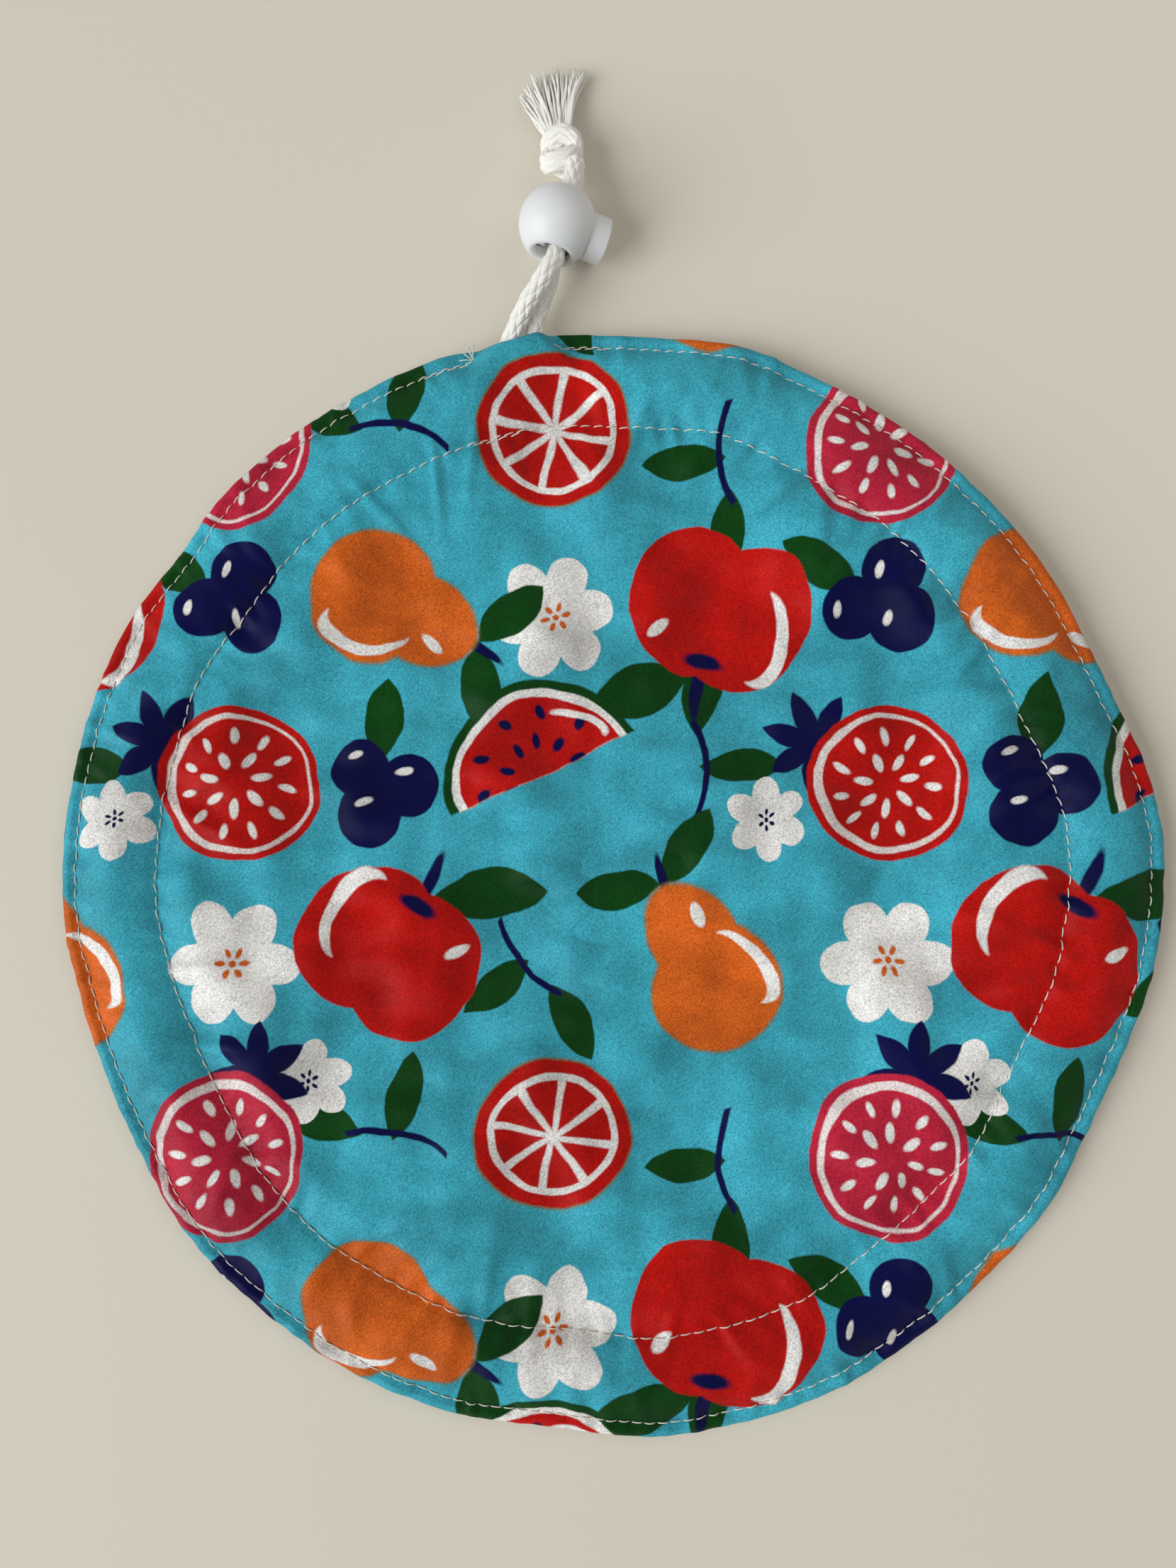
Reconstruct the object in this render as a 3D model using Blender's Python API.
"""Round two-layer fabric dish cover, gathered by a drawstring that a ball cord lock holds.

Lengths are metres and +Z is up. The cover lies flat on the plane z = 0 with its centre at the origin,
and the drawstring leaves the rim on the far side, at about +Y.
"""

import math

import bmesh
import bpy
from mathutils import Matrix, Vector

MM = 0.001

# Cover: the printed face cloth over the plain lining
COVER_RADIUS = 123.2 * MM
CLOTH = 0.35 * MM
LAYER_GAP = 0.3 * MM
HEM_DEPTH = 6.0 * MM
EDGE_TO_STITCH = 3.0 * MM
CASING_WIDTH = 18.0 * MM
FLAT_RADIUS = 62.0 * MM

# Places where the rim is drawn in: azimuth in degrees, depth, half width in degrees
RIM_DENTS = (
    (24, 5.2 * MM, 22),
    (46, 4.0 * MM, 20),
    (64, 2.3 * MM, 15),
    (87, 1.2 * MM, 13.6),
    (144, 1.4 * MM, 9),
    (203, 2.3 * MM, 24),
    (264, 1.5 * MM, 13),
    (308, 1.0 * MM, 14),
    (330, 2.6 * MM, 44),
    (336, 1.7 * MM, 16),
)

# How the rim stands off the table: its seam plane, highest at one azimuth
SEAM_HEIGHT = 2.8 * MM
RIM_LIFT = 4.5 * MM
RIM_LIFT_AZIMUTH = math.radians(35)
EDGE_DROOP = 1.0 * MM
LIP_PUFF = 0.3 * MM
FACE_LOFT = 0.9 * MM
PUCKER_HEIGHT = 0.8 * MM
PUCKER_REACH = 14.0 * MM
EDGE_ROLL = 0.25 * MM
LINING_INSET = 0.5 * MM

# Drawstring
CORD_DIAMETER = 4.4 * MM
CORD_CLEARANCE = 0.3 * MM
CASING_SHARE_ABOVE = 0.62
LOOP_POINT_SPACING = 13.0 * MM
TAIL_POINT_SPACING = 4.4 * MM

# Casing mouth: the stretch of rim that the outer stitch row leaves open for the cord
MOUTH_AZIMUTH = math.radians(100.6)
MOUTH_WIDTH = 18.2 * MM
MOUTH_FLAT = 7.4 * MM
MOUTH_FLAT_SHIFT = -2.0 * MM
MOUTH_SPREAD = 0.9
MOUTH_GAPE = 0.4

# How each end of the drawstring turns out of the casing, and where it crosses the mouth
LEFT_TURN = 25.0 * MM
LEFT_TURN_ANGLE = math.radians(50)
LEFT_AT_MOUTH = 2.8 * MM
RIGHT_TURN = 8.2 * MM
RIGHT_TURN_ANGLE = math.radians(96)
RIGHT_AT_MOUTH = -4.6 * MM

# Routes of the two free ends from the mouth to the lock, as steps from where each begins
LEFT_ROUTE = (
    Vector((2.2, 3.9, 0.8)) * MM,
    Vector((3.9, 7.1, 2.5)) * MM,
    Vector((6.2, 10.9, 4.5)) * MM,
    Vector((8.8, 14.4, 5.8)) * MM,
    Vector((10.8, 17.7, 6.3)) * MM,
)
RIGHT_ROUTE = (
    Vector((0.1, 3.6, -0.7)) * MM,
    Vector((0.7, 7.6, -0.7)) * MM,
    Vector((2.1, 11.7, 0.0)) * MM,
    Vector((3.8, 16.2, 1.1)) * MM,
)

# Ball cord lock. It is rolled about its cord bore until the button all but touches the table.
LOCK_OFFSET = Vector((10.7, 25.3)) * MM
LOCK_TURN = math.radians(-12)
LOCK_ROLL = math.radians(18)
BALL_RADIUS = 8.8 * MM
CORD_BORE_RADIUS = 4.0 * MM
BORE_FLARE = 0.8 * MM
BUTTON_RADIUS = 5.2 * MM
BUTTON_CLEARANCE = 0.3 * MM
BUTTON_TRAVEL = 1.8 * MM
BUTTON_WEB = 1.5 * MM
BUTTON_END = 11.4 * MM
BUTTON_ROUNDING = 0.45 * MM
NOTCH_RADIUS = 1.0 * MM
NOTCH_DEPTH = 1.6 * MM
SPRING_COIL_RADIUS = 2.6 * MM
SPRING_WIRE = 0.44 * MM
SPRING_LENGTH = 3.7 * MM
SPRING_TURNS = 2.5
SPRING_POCKET_RADIUS = 3.3 * MM
STRAND_IN_LOCK = 3.3 * MM
STRAND_SHIFT = 0.9 * MM
STRAIGHT_IN_LOCK = 7.4 * MM
TAIL_END = Vector((15.6, 2.65, -3.2)) * MM

# Knot and frayed end, placed from the lock's centre
KNOT_OFFSET = Vector((0.7, 20.4, -3.6)) * MM
KNOT_RADII = Vector((4.4, 4.9, 4.3)) * MM
KNOT_WRAP_RADIUS = 3.5 * MM
KNOT_WRAP_THICKNESS = 1.9 * MM
KNOT_WRAP_OFFSET = Vector((0.2, 0.6, 0.2)) * MM
KNOT_WRAP_TILT = (math.radians(38), math.radians(24), 0)
FRAY_GAP = 0.2 * MM
FRAY_SHIFT = -0.4 * MM
FRAY_LENGTH = 13.5 * MM
FRAY_LEAN = math.radians(7)
FRAY_BASE_WIDTH = 5.0 * MM
FRAY_TIP_WIDTH = 15.0 * MM
FRAY_BASE_HEIGHT = 4.4 * MM
FRAY_TIP_HEIGHT = 1.4 * MM
FRAY_BASE_RISE = 2.4 * MM
FRAY_TIP_RISE = 1.3 * MM
FRAY_FLUTE = 0.16
FRAY_SIDES = 24

# Mesh density
FACE_COLUMNS = 96
LINING_COLUMNS = 72
LOCK_SEGMENTS = 32

SEAM_INSET = EDGE_TO_STITCH + CASING_WIDTH
CROWN_INSET = EDGE_TO_STITCH + CASING_WIDTH / 2
CORD_RADIUS = CORD_DIAMETER / 2
CASING_OPENING = CORD_DIAMETER + 2 * CORD_CLEARANCE - LAYER_GAP
CORD_ABOVE_SEAM = (
    CORD_CLEARANCE + CORD_RADIUS - LAYER_GAP / 2 - (1 - CASING_SHARE_ABOVE) * CASING_OPENING
)


def smoothstep(t):
    t = min(max(t, 0.0), 1.0)
    return t * t * (3 - 2 * t)


def bump(x):
    """1 at x = 0, falling smoothly to 0 at x = 1 and x = -1."""
    return 0.5 + 0.5 * math.cos(math.pi * x) if abs(x) < 1 else 0.0


def angle_between(a, b):
    return (a - b + math.pi) % (2 * math.pi) - math.pi


def outline_radius(azimuth):
    """Radius of the cover's edge, which is a circle drawn in at the dents."""
    radius = COVER_RADIUS
    for centre, depth, half_width in RIM_DENTS:
        away = math.degrees(angle_between(azimuth, math.radians(centre)))
        radius -= depth * bump(away / half_width)
    return radius


def radius_at(azimuth, inset):
    """Radius of a point by its inset from the edge. Inside the seam the rings grow round."""
    seam = outline_radius(azimuth) - SEAM_INSET
    if inset <= SEAM_INSET:
        return outline_radius(azimuth) - inset
    return seam * (1 - (inset - SEAM_INSET) / (COVER_RADIUS - SEAM_INSET))


def seam_plane(azimuth, inset):
    """Height at which the two layers would meet, midway through the gap between them."""
    lift = RIM_LIFT * (0.5 + 0.5 * math.cos(angle_between(azimuth, RIM_LIFT_AZIMUTH))) ** 2
    rim = SEAM_HEIGHT + lift
    if inset <= SEAM_INSET:
        return rim - EDGE_DROOP * (1 - inset / SEAM_INSET) ** 2
    low = CLOTH + LAYER_GAP / 2
    seam = radius_at(azimuth, SEAM_INSET)
    rise = smoothstep((radius_at(azimuth, inset) - FLAT_RADIUS) / (seam - FLAT_RADIUS))
    return low + rise * (rim - low)


def mouth_offset(azimuth):
    """Distance along the rim from the middle of the mouth, positive towards -X."""
    return angle_between(azimuth, MOUTH_AZIMUTH) * outline_radius(MOUTH_AZIMUTH)


def mouth_opening(azimuth, inset):
    """How far the mouth is open, as a share. It widens inwards, where the cord's ends turn out."""
    if inset > CROWN_INSET:
        return 0.0
    along = mouth_offset(azimuth) - MOUTH_FLAT_SHIFT
    flat = MOUTH_FLAT / 2 + MOUTH_SPREAD * inset
    side = 1 if along > 0 else -1
    reach = MOUTH_WIDTH / 2 - side * MOUTH_FLAT_SHIFT - MOUTH_FLAT / 2
    gape = 1 + MOUTH_GAPE * (1 - inset / CROWN_INSET)
    return gape * (1 - smoothstep((abs(along) - flat) / reach))


def casing_opening(azimuth, inset):
    """Share of the full opening between the layers, which the cord holds apart along the casing."""
    across = (inset - CROWN_INSET) / (CASING_WIDTH / 2)
    channel = math.cos(across * math.pi / 2) ** 0.9 if abs(across) < 1 else 0.0
    return max(channel, mouth_opening(azimuth, inset))


def hem_share(inset):
    """1 where the turned edge doubles the cloth, fading to 0 just inside it."""
    return 1 - smoothstep((inset - HEM_DEPTH) / (4 * MM))


def cloth_thickness(inset):
    return 2 * CLOTH if inset <= HEM_DEPTH else CLOTH


def pucker(azimuth, inset, ridge):
    """Height of a gather. Each ridge crosses both stitch rows and dies out towards the centre."""
    if not ridge:
        return 0.0
    size = 0.7 + 0.2 * math.sin(7 * azimuth + 0.6) + 0.1 * math.sin(17 * azimuth)
    across = abs(inset - CROWN_INSET) / (CASING_WIDTH / 2)
    inside = 1 - smoothstep((inset - SEAM_INSET) / PUCKER_REACH)
    over_casing = 0.35 + 0.65 * min(across, 1.0) ** 2
    calm = smoothstep((abs(mouth_offset(azimuth)) - MOUTH_WIDTH / 2) / MOUTH_WIDTH)
    return PUCKER_HEIGHT * size * over_casing * inside * calm


def face_loft(azimuth, inset):
    """Height that the face cloth floats over the lining inside the inner stitch row, in soft swells."""
    if inset <= SEAM_INSET:
        return LIP_PUFF * bump((inset - EDGE_TO_STITCH / 2) / (EDGE_TO_STITCH / 2))
    radius = radius_at(azimuth, inset)
    x = radius * math.cos(azimuth)
    y = radius * math.sin(azimuth)
    swell = math.sin(x / (19 * MM) + 0.7) * math.cos(y / (24 * MM) - 0.4)
    return FACE_LOFT * smoothstep((inset - SEAM_INSET) / (9 * MM)) * (1 + 0.45 * swell)


def face_top(azimuth, inset, ridge):
    opening = CASING_SHARE_ABOVE * CASING_OPENING * casing_opening(azimuth, inset)
    cloth = CLOTH * (1 + hem_share(inset))
    loft = face_loft(azimuth, inset) + pucker(azimuth, inset, ridge)
    return seam_plane(azimuth, inset) + LAYER_GAP / 2 + opening + cloth + loft


def face_under(azimuth, inset, ridge):
    return face_top(azimuth, inset, ridge) - cloth_thickness(inset)


def lining_under(azimuth, inset, ridge):
    opening = (1 - CASING_SHARE_ABOVE) * CASING_OPENING * casing_opening(azimuth, inset)
    cloth = CLOTH * (1 + hem_share(inset))
    return seam_plane(azimuth, inset) - LAYER_GAP / 2 - opening - cloth


def lining_top(azimuth, inset, ridge):
    return lining_under(azimuth, inset, ridge) + cloth_thickness(inset)


def column_azimuths(count):
    """Azimuths of the mesh's columns: closer together at the mouth, and even round the rest of the rim."""
    near_mouth = (-20, -15.5, -11.8, -9.2, -7.4, -5.6, -3.2, -0.6, 2.0, 4.4, 6.8, 9.2, 12.4, 16.5)
    azimuths = [MOUTH_AZIMUTH + at * MM / outline_radius(MOUTH_AZIMUTH) for at in near_mouth]
    rest = count - len(azimuths)
    span = 2 * math.pi - (azimuths[-1] - azimuths[0])
    for step in range(1, rest + 1):
        azimuths.append(azimuths[len(near_mouth) - 1] + span * step / (rest + 1))
    return azimuths


def material(name, colour, roughness):
    made = bpy.data.materials.new(name)
    made.use_nodes = True
    shader = made.node_tree.nodes["Principled BSDF"]
    shader.inputs["Base Color"].default_value = (*colour, 1)
    shader.inputs["Roughness"].default_value = roughness
    shader.inputs["Metallic"].default_value = 0
    made.diffuse_color = (*colour, 1)
    return made


def add_mesh(name, mesh_builder, finish):
    """Links a new object made from the bmesh and gives it its material."""
    bmesh.ops.recalc_face_normals(mesh_builder, faces=mesh_builder.faces)
    mesh = bpy.data.meshes.new(name)
    mesh_builder.to_mesh(mesh)
    mesh_builder.free()
    mesh.shade_smooth()
    mesh.set_sharp_from_angle(angle=math.radians(40))
    made = bpy.data.objects.new(name, mesh)
    bpy.context.scene.collection.objects.link(made)
    if finish:
        mesh.materials.append(finish)
    return made


def ring_points(azimuths, inset, every, height, shift):
    """Points of one ring, at every so many columns. A ring on odd columns lies on the gathers' ridges."""
    points = []
    for column in range(0, len(azimuths), every):
        azimuth = azimuths[column]
        radius = radius_at(azimuth, inset) - shift(azimuth)
        z = height(azimuth, inset, column % 2 == 1)
        points.append((radius * math.cos(azimuth), radius * math.sin(azimuth), z))
    return points


def fill_band(builder, outer, inner):
    """Faces between two rings that hold the same number of points, or of which the inner one holds half."""
    if len(outer) == len(inner):
        for i in range(len(outer)):
            n = (i + 1) % len(outer)
            builder.faces.new((outer[i], outer[n], inner[n], inner[i]))
        return
    for i in range(len(inner)):
        n = (i + 1) % len(inner)
        first, middle, last = outer[2 * i], outer[2 * i + 1], outer[(2 * i + 2) % len(outer)]
        builder.faces.new((first, middle, inner[i]))
        builder.faces.new((middle, inner[n], inner[i]))
        builder.faces.new((middle, last, inner[n]))


def cloth_layer(name, columns, upper_rings, lower_rings, upper, lower, shift, finish):
    """A closed sheet of cloth from its upper and lower surfaces, joined by a rounded fold at the edge.

    Each ring is its inset from the edge and how many columns lie between its points.
    """
    azimuths = column_azimuths(columns)
    builder = bmesh.new()
    outer = []
    for rings, height in ((upper_rings, upper), (lower_rings, lower)):
        loops = []
        for inset, every in rings:
            points = ring_points(azimuths, inset, every, height, shift)
            loops.append([builder.verts.new(point) for point in points])
        for wide, narrow in zip(loops, loops[1:]):
            fill_band(builder, wide, narrow)
        middle = builder.verts.new((0, 0, height(0.0, COVER_RADIUS, False)))
        for i, point in enumerate(loops[-1]):
            builder.faces.new((point, loops[-1][(i + 1) % len(loops[-1])], middle))
        outer.append(loops[0])
    fold = []
    for high, low in zip(*outer):
        out = Vector((high.co.x, high.co.y, 0)).normalized() * EDGE_ROLL
        fold.append(builder.verts.new((high.co + low.co) / 2 + out))
    fill_band(builder, fold, outer[0])
    fill_band(builder, outer[1], fold)
    return add_mesh(name, builder, finish)


def face_shift(azimuth):
    return 0.0


def lining_shift(azimuth):
    """The lining stops short of the face cloth's edge, apart from the far side, where it peeps out."""
    peep = bump(angle_between(azimuth, math.radians(95)) / math.radians(48))
    return LINING_INSET - 1.6 * LINING_INSET * peep


def rings(*groups):
    """Rings from groups of (columns between points, insets in millimetres)."""
    return [(inset * MM, every) for every, insets in groups for inset in insets]


def make_cloth(face_finish, lining_finish):
    stitch = EDGE_TO_STITCH / MM
    crown = CROWN_INSET / MM
    seam = SEAM_INSET / MM
    hem = HEM_DEPTH / MM
    quarter = CASING_WIDTH / MM / 4
    upper = rings(
        (1, (0.35, stitch / 2, stitch, stitch + 1.8, crown - quarter, crown, crown + quarter)),
        (1, (seam - 1.8, seam, seam + 2.5, seam + 8)),
        (2, (seam + 18,)),
        (4, (seam + 38, seam + 62)),
        (8, (seam + 84,)),
    )
    lower = rings(
        (1, (0.35, stitch, hem, hem + 0.3, crown, crown + quarter, seam - 1.8, seam, seam + 2.5)),
        (1, (seam + 8,)),
        (2, (seam + 18,)),
        (4, (seam + 38, seam + 62)),
        (8, (seam + 84,)),
    )
    cloth_layer(
        "face_cloth", FACE_COLUMNS, upper, lower, face_top, face_under, face_shift, face_finish
    )
    upper = rings(
        (1, (0.35, stitch, hem, hem + 0.3, crown, crown + quarter, seam)),
        (2, (seam + 12, seam + 24)),
        (4, (seam + 38,)),
        (8, (seam + 70,)),
    )
    lower = rings(
        (1, (0.35, stitch, crown - quarter, crown, crown + quarter, seam)),
        (2, (seam + 12, seam + 24)),
        (4, (seam + 38,)),
        (8, (seam + 70,)),
    )
    cloth_layer(
        "lining_cloth",
        LINING_COLUMNS,
        upper,
        lower,
        lining_top,
        lining_under,
        lining_shift,
        lining_finish,
    )


def on_cover(azimuth, inset):
    """Where the cord's centre lies in the casing at this azimuth and inset."""
    radius = radius_at(azimuth, inset)
    z = seam_plane(azimuth, inset) + CORD_ABOVE_SEAM
    return Vector((radius * math.cos(azimuth), radius * math.sin(azimuth), z))


def in_mouth(along, inset):
    """The same, by distance along the rim from the middle of the mouth, positive towards -X."""
    return on_cover(MOUTH_AZIMUTH + along / outline_radius(MOUTH_AZIMUTH), inset)


def tube(name, points, radii, finish):
    """A cord as a straight-sided tube through the points, with a radius for each."""
    curve = bpy.data.curves.new(name, "CURVE")
    curve.dimensions = "3D"
    curve.bevel_depth = CORD_RADIUS
    curve.bevel_resolution = 2
    curve.use_fill_caps = True
    spline = curve.splines.new("POLY")
    spline.points.add(len(points) - 1)
    for at, point, radius in zip(spline.points, points, radii):
        at.co = (*point, 1)
        at.radius = radius / CORD_RADIUS
    made = bpy.data.objects.new(name, curve)
    bpy.context.scene.collection.objects.link(made)
    curve.materials.append(finish)
    return made


def through(points, spacing):
    """Evenly spaced points on a smooth curve through the given ones."""
    dense = []
    ends = [2 * points[0] - points[1], *points, 2 * points[-1] - points[-2]]
    for a, b, c, d in zip(ends, ends[1:], ends[2:], ends[3:]):
        for step in range(16):
            t = step / 16
            curved = (2 * a - 5 * b + 4 * c - d) * t**2 + (3 * b - a - 3 * c + d) * t**3
            dense.append(b + 0.5 * ((c - a) * t + curved))
    dense.append(points[-1])
    lengths = [0.0]
    for a, b in zip(dense, dense[1:]):
        lengths.append(lengths[-1] + (b - a).length)
    count = max(2, round(lengths[-1] / spacing))
    even = []
    place = 0
    for step in range(count + 1):
        wanted = lengths[-1] * step / count
        while place < len(dense) - 2 and lengths[place + 1] < wanted:
            place += 1
        share = (wanted - lengths[place]) / (lengths[place + 1] - lengths[place])
        even.append(dense[place].lerp(dense[place + 1], share))
    return even


def turn_points(side, turn, angle, at_mouth, steps):
    """Points along one end's turn, from the mouth back to where it joins the casing's circle."""
    points = []
    for step in range(steps + 1):
        phi = angle * (1 - step / steps)
        along = at_mouth + side * turn * (math.sin(angle) - math.sin(phi))
        points.append(in_mouth(along, CROWN_INSET - turn * (1 - math.cos(phi))))
    return points


def make_loop(finish):
    """The drawstring inside the casing, from one side of the mouth round to the other."""
    left = turn_points(1, LEFT_TURN, LEFT_TURN_ANGLE, LEFT_AT_MOUTH, 4)
    right = turn_points(-1, RIGHT_TURN, RIGHT_TURN_ANGLE, RIGHT_AT_MOUTH, 5)
    first = math.atan2(left[-1].y, left[-1].x)
    last = math.atan2(right[-1].y, right[-1].x) + 2 * math.pi
    count = round((last - first) * (COVER_RADIUS - CROWN_INSET) / LOOP_POINT_SPACING)
    around = [on_cover(first + (last - first) * i / count, CROWN_INSET) for i in range(1, count)]
    points = left + around + right[::-1]
    tube("drawstring_loop", points, [CORD_RADIUS] * len(points), finish)
    return [(end[0], (end[0] - end[1]).normalized()) for end in (left, right)]


def lock_centre():
    """Centre of the ball, which rests on the table beyond the mouth."""
    radius = outline_radius(MOUTH_AZIMUTH)
    mouth = Vector((radius * math.cos(MOUTH_AZIMUTH), radius * math.sin(MOUTH_AZIMUTH)))
    return (mouth + LOCK_OFFSET).to_3d() + Vector((0, 0, BALL_RADIUS))


def beside_lock(u, v, w):
    """A point from the ball's centre: u level and square to the cord bore, v along the bore and w up."""
    return lock_centre() + Matrix.Rotation(LOCK_TURN, 3, "Z") @ Vector((u, v, w))


def in_lock(u, v, w):
    """A point from the ball's centre in the rolled lock: u along the button, v along the cord bore."""
    return beside_lock(*(Matrix.Rotation(LOCK_ROLL, 3, "Y") @ Vector((u, v, w))))


def knot_centre():
    return lock_centre() + KNOT_OFFSET


def strand_radius(point):
    """The strands are squeezed where the lock holds them."""
    v = (Matrix.Rotation(-LOCK_TURN, 3, "Z") @ (point - lock_centre())).y
    inside = 1 - smoothstep((abs(v) - 0.95 * BALL_RADIUS) / (0.7 * BALL_RADIUS))
    return CORD_RADIUS + (STRAND_IN_LOCK / 2 - CORD_RADIUS) * inside


def make_tails(finish, ends):
    """The cord's two free stretches: out of the mouth, through the lock one over the other, to the knot."""
    stack = (STRAND_IN_LOCK + CORD_CLEARANCE) / 2
    for name, (start, outwards), route, side in (
        ("cord_tail_left", ends[0], LEFT_ROUTE, 1),
        ("cord_tail_right", ends[1], RIGHT_ROUTE, -1),
    ):
        first = start + outwards * CORD_CLEARANCE
        points = [first + outwards * CORD_RADIUS / 2]
        points += [start + offset for offset in route]
        for v in (-STRAIGHT_IN_LOCK, 0, STRAIGHT_IN_LOCK):
            points.append(in_lock(STRAND_SHIFT, v, side * stack))
        points.append(beside_lock(STRAND_SHIFT, TAIL_END.x, side * TAIL_END.y + TAIL_END.z))
        smooth = [first] + through(points, TAIL_POINT_SPACING)
        tube(name, smooth, [strand_radius(point) for point in smooth], finish)


def turned(name, profile, axis, finish=None, segments=LOCK_SEGMENTS):
    """A solid of revolution in the lock's frame about x (the button) or y (the cord bore).

    The profile is a list of (distance along the axis, radius), and both ends are closed flat.
    """
    builder = bmesh.new()
    loops = []
    for along, radius in profile:
        loop = []
        for side in range(segments):
            around = 2 * math.pi * (side + 0.5) / segments
            across, up = radius * math.cos(around), radius * math.sin(around)
            loop.append(builder.verts.new((along, across, up) if axis == "x" else (across, along, up)))
        loops.append(loop)
    for near, far in zip(loops, loops[1:]):
        fill_band(builder, near, far)
    builder.faces.new(loops[0])
    builder.faces.new(loops[-1])
    return add_mesh(name, builder, finish)


def cut(target, cutter):
    """Cuts one object from another and keeps the cutter hidden."""
    cutter.hide_render = True
    cutter.display_type = "WIRE"
    modifier = target.modifiers.new("cut " + cutter.name, "BOOLEAN")
    modifier.operation = "DIFFERENCE"
    modifier.object = cutter


def in_lock_frame(made, frame):
    made.parent = frame
    return made


def make_lock(body_finish, button_finish, spring_finish):
    frame = bpy.data.objects.new("lock_frame", None)
    bpy.context.scene.collection.objects.link(frame)
    frame.location = lock_centre()
    frame.rotation_euler = (0, LOCK_ROLL, LOCK_TURN)

    button_inner = BUTTON_TRAVEL - CORD_BORE_RADIUS - BUTTON_WEB
    bore_end = button_inner - BUTTON_TRAVEL - BUTTON_CLEARANCE
    pocket_end = button_inner - SPRING_LENGTH
    bore_radius = BUTTON_RADIUS + BUTTON_CLEARANCE
    mouth = math.sqrt(BALL_RADIUS**2 - (CORD_BORE_RADIUS + BORE_FLARE) ** 2)
    rim = math.sqrt(BALL_RADIUS**2 - bore_radius**2)
    reach = 1.2 * BALL_RADIUS

    builder = bmesh.new()
    bmesh.ops.create_uvsphere(
        builder,
        u_segments=LOCK_SEGMENTS,
        v_segments=LOCK_SEGMENTS // 2,
        radius=BALL_RADIUS,
        matrix=Matrix.Rotation(math.radians(90), 4, "Y"),
    )
    body = in_lock_frame(add_mesh("lock_body", builder, body_finish), frame)
    mouth_in, mouth_out = mouth - 2 * BORE_FLARE, mouth + BORE_FLARE
    flared = CORD_BORE_RADIUS + 2 * BORE_FLARE
    cord_bore = (
        (-reach, flared),
        (-mouth_out, flared),
        (-mouth_in, CORD_BORE_RADIUS),
        (mouth_in, CORD_BORE_RADIUS),
        (mouth_out, flared),
        (reach, flared),
    )
    button_bore = (
        (pocket_end, SPRING_POCKET_RADIUS),
        (bore_end, SPRING_POCKET_RADIUS),
        (bore_end, bore_radius),
        (reach, bore_radius),
    )
    cutters = [
        turned("cord_bore_cutter", cord_bore, "y"),
        turned("button_bore_cutter", button_bore, "x"),
    ]
    for side, label in ((1, "far"), (-1, "near")):
        notch_profile = ((rim - NOTCH_DEPTH, NOTCH_RADIUS), (reach, NOTCH_RADIUS))
        notch = turned("notch_cutter_" + label, notch_profile, "x", segments=12)
        notch.location = (0, side * bore_radius, 0)
        cutters.append(notch)
    for cutter in cutters:
        cut(body, in_lock_frame(cutter, frame))

    chamfer = 0.3 * BUTTON_ROUNDING
    button_profile = (
        (button_inner, BUTTON_RADIUS - BUTTON_ROUNDING),
        (button_inner + BUTTON_ROUNDING, BUTTON_RADIUS),
        (BUTTON_END - BUTTON_ROUNDING, BUTTON_RADIUS),
        (BUTTON_END - chamfer, BUTTON_RADIUS - chamfer),
        (BUTTON_END, BUTTON_RADIUS - BUTTON_ROUNDING),
    )
    button = in_lock_frame(turned("lock_button", button_profile, "x", button_finish), frame)
    hole_profile = ((-reach, CORD_BORE_RADIUS), (reach, CORD_BORE_RADIUS))
    hole = turned("button_hole_cutter", hole_profile, "y")
    hole.location = (BUTTON_TRAVEL, 0, 0)
    cut(button, in_lock_frame(hole, frame))

    spring = make_spring(button_inner, pocket_end, spring_finish)
    in_lock_frame(spring, frame)


def make_spring(button_inner, pocket_end, finish):
    """The coil that pushes the button out, between its inner end and the bottom of the pocket."""
    curve = bpy.data.curves.new("lock_spring", "CURVE")
    curve.dimensions = "3D"
    curve.bevel_depth = SPRING_WIRE / 2
    curve.bevel_resolution = 1
    curve.use_fill_caps = True
    seat = SPRING_WIRE / 2 + 0.15 * MM
    low, high = pocket_end + seat, button_inner - seat
    steps = round(14 * SPRING_TURNS)
    spline = curve.splines.new("POLY")
    spline.points.add(steps)
    for i, point in enumerate(spline.points):
        angle = 2 * math.pi * SPRING_TURNS * i / steps
        along = low + (high - low) * i / steps
        side = SPRING_COIL_RADIUS * math.cos(angle)
        point.co = (along, side, SPRING_COIL_RADIUS * math.sin(angle), 1)
    made = bpy.data.objects.new("lock_spring", curve)
    bpy.context.scene.collection.objects.link(made)
    curve.materials.append(finish)
    return made


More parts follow.
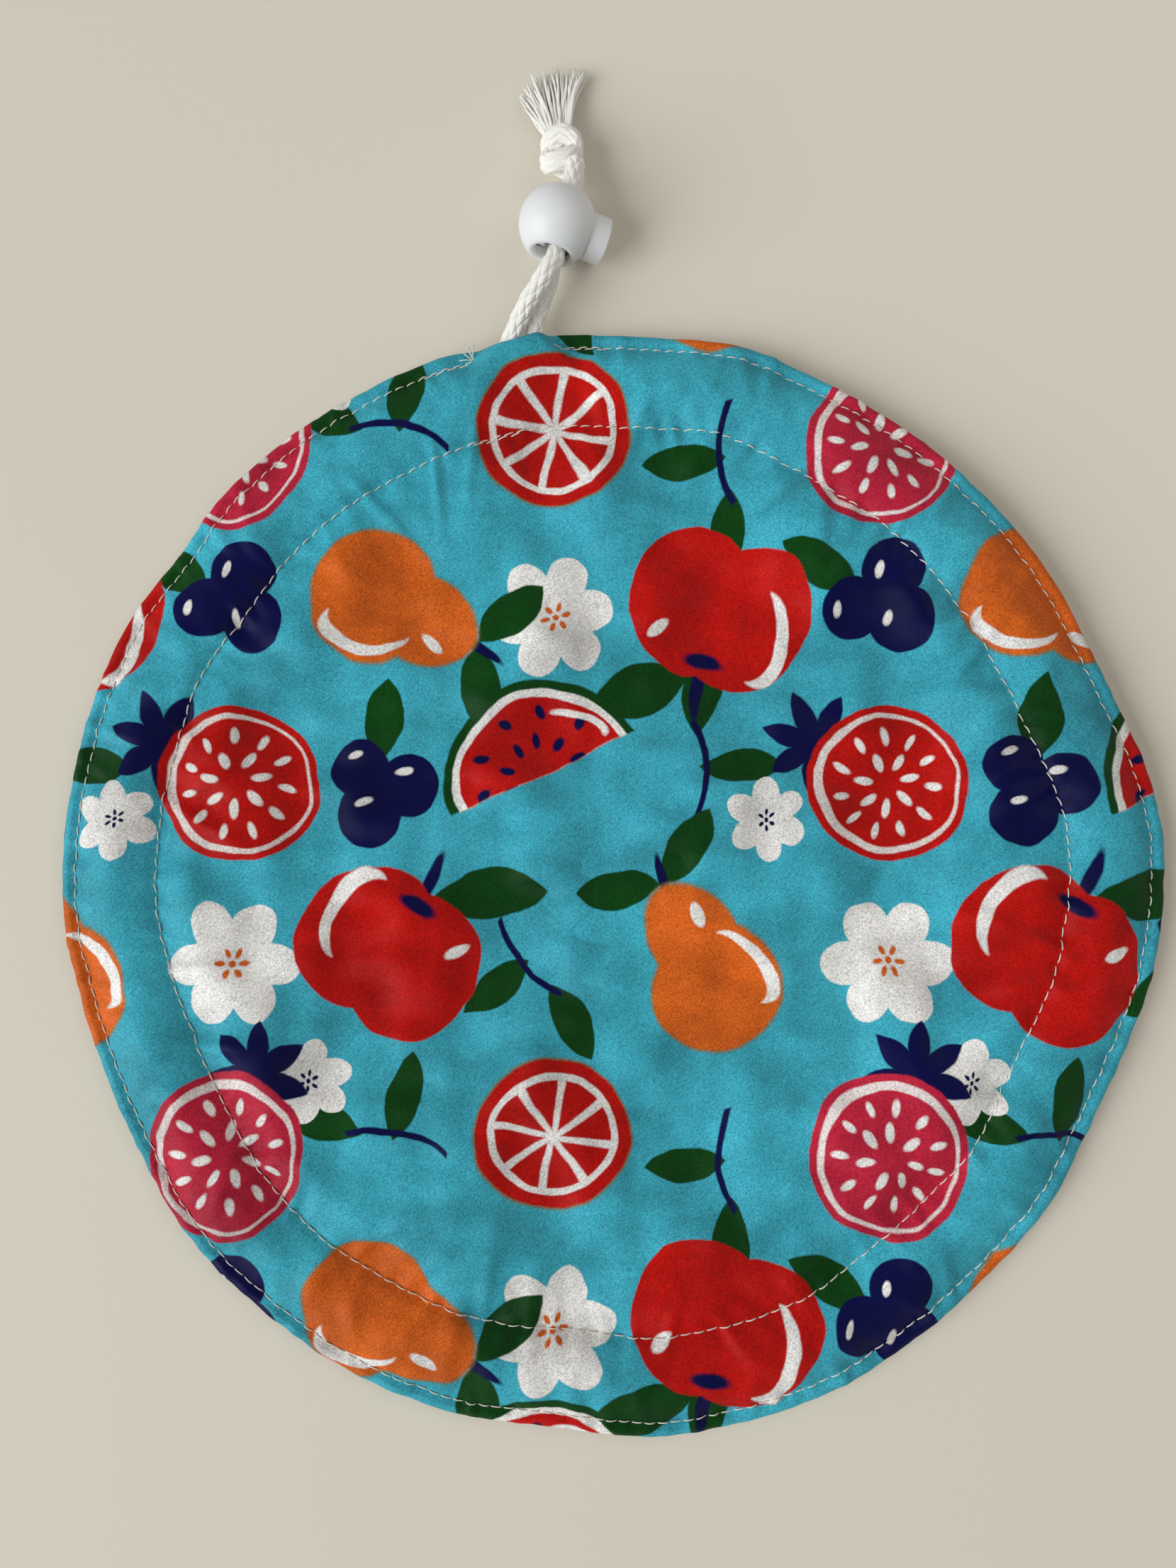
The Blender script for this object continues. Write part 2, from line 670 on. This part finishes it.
def make_knot(finish):
    """The overhand knot that ties both ends together: a core with one turn of cord wrapped round it."""
    builder = bmesh.new()
    bmesh.ops.create_uvsphere(builder, u_segments=20, v_segments=12, radius=1.0)
    bmesh.ops.scale(builder, vec=KNOT_RADII, verts=builder.verts)
    core = add_mesh("knot", builder, finish)
    core.location = knot_centre()
    builder = bmesh.new()
    bmesh.ops.create_circle(
        builder,
        segments=10,
        radius=KNOT_WRAP_THICKNESS,
        matrix=Matrix.Translation((KNOT_WRAP_RADIUS, 0, 0)) @ Matrix.Rotation(math.radians(90), 4, "X"),
    )
    bmesh.ops.spin(
        builder,
        geom=builder.verts[:] + builder.edges[:],
        cent=(0, 0, 0),
        axis=(0, 0, 1),
        angle=2 * math.pi,
        steps=24,
    )
    bmesh.ops.remove_doubles(builder, verts=builder.verts, dist=0.001 * MM)
    wrap = add_mesh("knot_wrap", builder, None)
    wrap.rotation_euler = KNOT_WRAP_TILT
    wrap.location = knot_centre() + KNOT_WRAP_OFFSET
    wrap.hide_render = True
    wrap.display_type = "WIRE"
    join = core.modifiers.new("wrapped turn", "BOOLEAN")
    join.operation = "UNION"
    join.object = wrap


def make_frayed_end(finish):
    """The cut ends beyond the knot: a flattened brush of loose yarns, fluted and ragged at its tip."""
    stations = ((0.0, 1.0), (0.25, 1.05), (0.5, 1.1), (0.78, 1.05), (1.0, 0.8))
    builder = bmesh.new()
    loops = []
    for share, fullness in stations:
        half_width = (FRAY_BASE_WIDTH + (FRAY_TIP_WIDTH - FRAY_BASE_WIDTH) * share**1.2) / 2
        half_height = fullness * (FRAY_BASE_HEIGHT + (FRAY_TIP_HEIGHT - FRAY_BASE_HEIGHT) * share) / 2
        rise = FRAY_BASE_RISE + (FRAY_TIP_RISE - FRAY_BASE_RISE) * share
        loop = []
        for side in range(FRAY_SIDES):
            around = 2 * math.pi * side / FRAY_SIDES
            flute = 1 - FRAY_FLUTE * share * (side % 3 == 0)
            ragged = 0.1 * math.sin(5 * around + 0.5) + 0.07 * math.cos(3 * around)
            along = FRAY_LENGTH * (share + (ragged if share == 1 else 0))
            across = half_width * flute * math.cos(around)
            up = rise + half_height * flute * math.sin(around)
            loop.append(builder.verts.new((across, along, up)))
        loops.append(loop)
    for near, far in zip(loops, loops[1:]):
        fill_band(builder, near, far)
    ends = ((loops[0], 0, FRAY_BASE_RISE), (loops[-1], 0.93 * FRAY_LENGTH, FRAY_TIP_RISE))
    for loop, y, z in ends:
        middle = builder.verts.new((0, y, z))
        for i in range(FRAY_SIDES):
            builder.faces.new((loop[i], loop[(i + 1) % FRAY_SIDES], middle))
    made = add_mesh("frayed_end", builder, finish)
    made.rotation_euler.z = FRAY_LEAN
    knot = knot_centre()
    made.location = (knot.x + FRAY_SHIFT, knot.y + KNOT_RADII.y + FRAY_GAP, 0)


def main():
    for made in list(bpy.data.objects):
        bpy.data.objects.remove(made, do_unlink=True)
    printed = material("printed_cotton", (0.07, 0.5, 0.64), 0.62)
    plain = material("lining_cotton", (0.83, 0.81, 0.77), 0.75)
    cord = material("cotton_cord", (0.84, 0.82, 0.77), 0.8)
    plastic = material("white_plastic", (0.85, 0.86, 0.88), 0.42)
    steel = material("spring_steel", (0.6, 0.6, 0.6), 0.3)
    make_cloth(printed, plain)
    make_tails(cord, make_loop(cord))
    make_lock(plastic, plastic, steel)
    make_knot(cord)
    make_frayed_end(cord)
    bpy.context.view_layer.update()


main()
